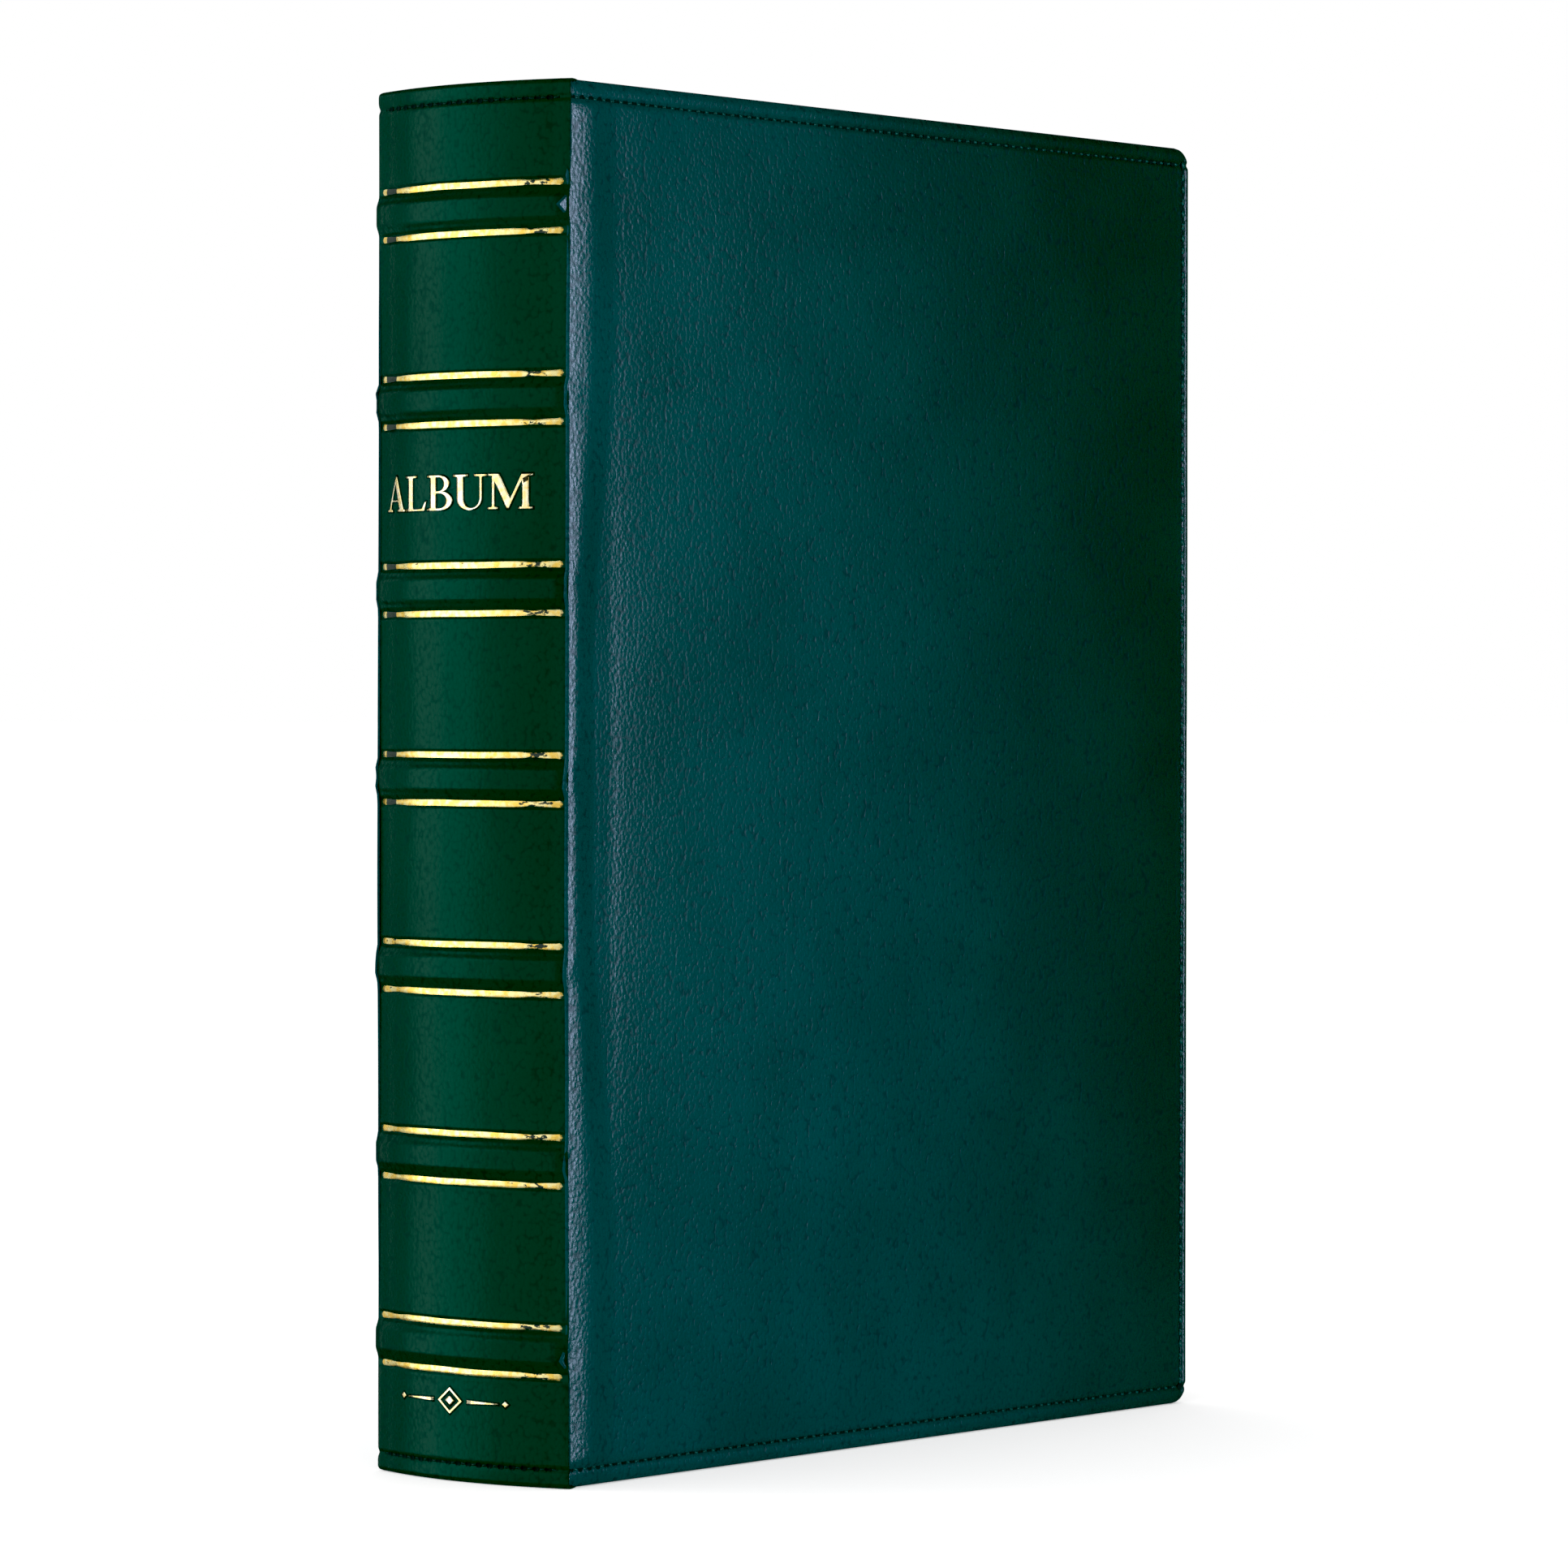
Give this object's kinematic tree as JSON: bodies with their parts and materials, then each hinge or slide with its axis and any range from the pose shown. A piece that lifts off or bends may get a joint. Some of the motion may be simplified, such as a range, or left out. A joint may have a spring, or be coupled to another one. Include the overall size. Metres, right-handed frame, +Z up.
{
  "type": "stamp album",
  "caption": "Padded leatherette stamp album with a rounded spine, raised bands and gold lines; both covers open and the stock leaves fan out.",
  "frame": {"origin": "middle of the album's footprint, on the surface that it stands on", "axes": "+Z up along the spine; +X from the spine to the fore edge; -Y out of the front cover, +Y out of the back cover"},
  "size_m": [0.24, 0.057, 0.31],
  "materials": {
    "leatherette": "dark green grained leatherette, semi-gloss",
    "foam": "soft open foam",
    "greyboard": "uncoated grey bookbinder's board",
    "lining_paper": "dark green laid end paper, matt",
    "band_card": "plain strip card",
    "gold_foil": "hot-pressed gold foil, bright, slightly worn",
    "binding_cloth": "woven cotton binding cloth",
    "guard_board": "black guard card, sewn and glued",
    "black_card": "black stock card, matt",
    "stitching": "waxed polyester sewing thread, teal",
    "strip_film": "clear acetate stamp strip",
    "glassine": "translucent glassine interleaf"
  },
  "bodies": {
    "spine": {"spine_leather": "leatherette", "spine_pad": "foam", "spine_board": "greyboard", "spine_lining": "lining_paper", "spine_mull": "binding_cloth", "guard_block": "guard_board", "headband_top": "binding_cloth", "headband_bottom": "binding_cloth", "raised_band_1": "band_card", "raised_band_2": "band_card", "raised_band_3": "band_card", "raised_band_4": "band_card", "raised_band_5": "band_card", "raised_band_6": "band_card", "raised_band_7": "band_card", "gold_line_1": "gold_foil", "gold_line_2": "gold_foil", "gold_line_3": "gold_foil", "gold_line_4": "gold_foil", "gold_line_5": "gold_foil", "gold_line_6": "gold_foil", "gold_line_7": "gold_foil", "gold_line_8": "gold_foil", "gold_line_9": "gold_foil", "gold_line_10": "gold_foil", "gold_line_11": "gold_foil", "gold_line_12": "gold_foil", "gold_line_13": "gold_foil", "gold_line_14": "gold_foil", "front_joint_strip": "leatherette", "back_joint_strip": "leatherette"},
    "front_cover": {"front_cover_leather": "leatherette", "front_foam_pad": "foam", "front_board": "greyboard", "front_lining": "lining_paper"},
    "back_cover": {"back_cover_leather": "leatherette", "back_foam_pad": "foam", "back_board": "greyboard", "back_lining": "lining_paper"},
    "leaf_01": {"leaf_01": "black_card"},
    "leaf_02": {"leaf_02": "black_card"},
    "leaf_03": {"leaf_03": "black_card"},
    "leaf_04": {"leaf_04": "black_card"},
    "leaf_05": {"leaf_05": "black_card"},
    "leaf_06": {"leaf_06": "black_card"},
    "leaf_07": {"leaf_07": "black_card"},
    "leaf_08": {"leaf_08": "black_card"},
    "leaf_09": {"leaf_09": "black_card"},
    "leaf_10": {"leaf_10": "black_card"},
    "leaf_11": {"leaf_11": "black_card"},
    "leaf_12": {"leaf_12": "black_card"},
    "leaf_13": {"leaf_13": "black_card"},
    "leaf_14": {"leaf_14": "black_card"},
    "leaf_15": {"leaf_15": "black_card"},
    "leaf_16": {"leaf_16": "black_card"},
    "leaf_17": {"leaf_17": "black_card"},
    "leaf_18": {"leaf_18": "black_card"},
    "leaf_19": {"leaf_19": "black_card"},
    "leaf_20": {"leaf_20": "black_card"}
  },
  "joints": [
    {"name": "front_cover_hinge", "type": "hinge", "parent": "spine", "child": "front_cover", "pos_m": [-0.11332, -0.02825, 0.155], "axis": [0, 0, -1], "range_deg": [0, 95], "deforming": ["front_joint_strip"]},
    {"name": "back_cover_hinge", "type": "hinge", "parent": "spine", "child": "back_cover", "pos_m": [-0.11332, 0.02825, 0.155], "axis": [0, 0, 1], "range_deg": [0, 95], "deforming": ["back_joint_strip"]},
    {"name": "leaf_01_turn", "type": "hinge", "parent": "spine", "child": "leaf_01", "pos_m": [-0.10588, -0.02138, 0.155], "axis": [0, 0, -1], "range_deg": [0, 88.05]},
    {"name": "leaf_02_turn", "type": "hinge", "parent": "spine", "child": "leaf_02", "pos_m": [-0.10588, -0.01912, 0.155], "axis": [0, 0, -1], "range_deg": [0, 78.79]},
    {"name": "leaf_03_turn", "type": "hinge", "parent": "spine", "child": "leaf_03", "pos_m": [-0.10588, -0.01688, 0.155], "axis": [0, 0, -1], "range_deg": [0, 69.52]},
    {"name": "leaf_04_turn", "type": "hinge", "parent": "spine", "child": "leaf_04", "pos_m": [-0.10588, -0.01463, 0.155], "axis": [0, 0, -1], "range_deg": [0, 60.26]},
    {"name": "leaf_05_turn", "type": "hinge", "parent": "spine", "child": "leaf_05", "pos_m": [-0.10588, -0.01238, 0.155], "axis": [0, 0, -1], "range_deg": [0, 51]},
    {"name": "leaf_06_turn", "type": "hinge", "parent": "spine", "child": "leaf_06", "pos_m": [-0.10588, -0.01013, 0.155], "axis": [0, 0, -1], "range_deg": [0, 41.73]},
    {"name": "leaf_07_turn", "type": "hinge", "parent": "spine", "child": "leaf_07", "pos_m": [-0.10588, -0.00788, 0.155], "axis": [0, 0, -1], "range_deg": [0, 32.47]},
    {"name": "leaf_08_turn", "type": "hinge", "parent": "spine", "child": "leaf_08", "pos_m": [-0.10588, -0.00562, 0.155], "axis": [0, 0, -1], "range_deg": [0, 23.21]},
    {"name": "leaf_09_turn", "type": "hinge", "parent": "spine", "child": "leaf_09", "pos_m": [-0.10588, -0.00337, 0.155], "axis": [0, 0, -1], "range_deg": [0, 13.94]},
    {"name": "leaf_10_turn", "type": "hinge", "parent": "spine", "child": "leaf_10", "pos_m": [-0.10588, -0.00112, 0.155], "axis": [0, 0, -1], "range_deg": [0, 4.68]},
    {"name": "leaf_11_turn", "type": "hinge", "parent": "spine", "child": "leaf_11", "pos_m": [-0.10588, 0.00112, 0.155], "axis": [0, 0, 1], "range_deg": [0, 4.68]},
    {"name": "leaf_12_turn", "type": "hinge", "parent": "spine", "child": "leaf_12", "pos_m": [-0.10588, 0.00337, 0.155], "axis": [0, 0, 1], "range_deg": [0, 13.94]},
    {"name": "leaf_13_turn", "type": "hinge", "parent": "spine", "child": "leaf_13", "pos_m": [-0.10588, 0.00562, 0.155], "axis": [0, 0, 1], "range_deg": [0, 23.21]},
    {"name": "leaf_14_turn", "type": "hinge", "parent": "spine", "child": "leaf_14", "pos_m": [-0.10588, 0.00788, 0.155], "axis": [0, 0, 1], "range_deg": [0, 32.47]},
    {"name": "leaf_15_turn", "type": "hinge", "parent": "spine", "child": "leaf_15", "pos_m": [-0.10588, 0.01013, 0.155], "axis": [0, 0, 1], "range_deg": [0, 41.73]},
    {"name": "leaf_16_turn", "type": "hinge", "parent": "spine", "child": "leaf_16", "pos_m": [-0.10588, 0.01238, 0.155], "axis": [0, 0, 1], "range_deg": [0, 51]},
    {"name": "leaf_17_turn", "type": "hinge", "parent": "spine", "child": "leaf_17", "pos_m": [-0.10588, 0.01463, 0.155], "axis": [0, 0, 1], "range_deg": [0, 60.26]},
    {"name": "leaf_18_turn", "type": "hinge", "parent": "spine", "child": "leaf_18", "pos_m": [-0.10588, 0.01688, 0.155], "axis": [0, 0, 1], "range_deg": [0, 69.52]},
    {"name": "leaf_19_turn", "type": "hinge", "parent": "spine", "child": "leaf_19", "pos_m": [-0.10588, 0.01912, 0.155], "axis": [0, 0, 1], "range_deg": [0, 78.79]},
    {"name": "leaf_20_turn", "type": "hinge", "parent": "spine", "child": "leaf_20", "pos_m": [-0.10588, 0.02138, 0.155], "axis": [0, 0, 1], "range_deg": [0, 88.05]}
  ],
  "couplings": [
    {"joint": "leaf_01_turn", "follows": "front_cover_hinge", "ratio": 0.9263},
    {"joint": "leaf_02_turn", "follows": "front_cover_hinge", "ratio": 0.8288},
    {"joint": "leaf_03_turn", "follows": "front_cover_hinge", "ratio": 0.7313},
    {"joint": "leaf_04_turn", "follows": "front_cover_hinge", "ratio": 0.6337},
    {"joint": "leaf_05_turn", "follows": "front_cover_hinge", "ratio": 0.5362},
    {"joint": "leaf_06_turn", "follows": "front_cover_hinge", "ratio": 0.4387},
    {"joint": "leaf_07_turn", "follows": "front_cover_hinge", "ratio": 0.3412},
    {"joint": "leaf_08_turn", "follows": "front_cover_hinge", "ratio": 0.2437},
    {"joint": "leaf_09_turn", "follows": "front_cover_hinge", "ratio": 0.1462},
    {"joint": "leaf_10_turn", "follows": "front_cover_hinge", "ratio": 0.0487},
    {"joint": "leaf_11_turn", "follows": "back_cover_hinge", "ratio": 0.0487},
    {"joint": "leaf_12_turn", "follows": "back_cover_hinge", "ratio": 0.1462},
    {"joint": "leaf_13_turn", "follows": "back_cover_hinge", "ratio": 0.2437},
    {"joint": "leaf_14_turn", "follows": "back_cover_hinge", "ratio": 0.3412},
    {"joint": "leaf_15_turn", "follows": "back_cover_hinge", "ratio": 0.4387},
    {"joint": "leaf_16_turn", "follows": "back_cover_hinge", "ratio": 0.5362},
    {"joint": "leaf_17_turn", "follows": "back_cover_hinge", "ratio": 0.6337},
    {"joint": "leaf_18_turn", "follows": "back_cover_hinge", "ratio": 0.7313},
    {"joint": "leaf_19_turn", "follows": "back_cover_hinge", "ratio": 0.8288},
    {"joint": "leaf_20_turn", "follows": "back_cover_hinge", "ratio": 0.9263}
  ]
}
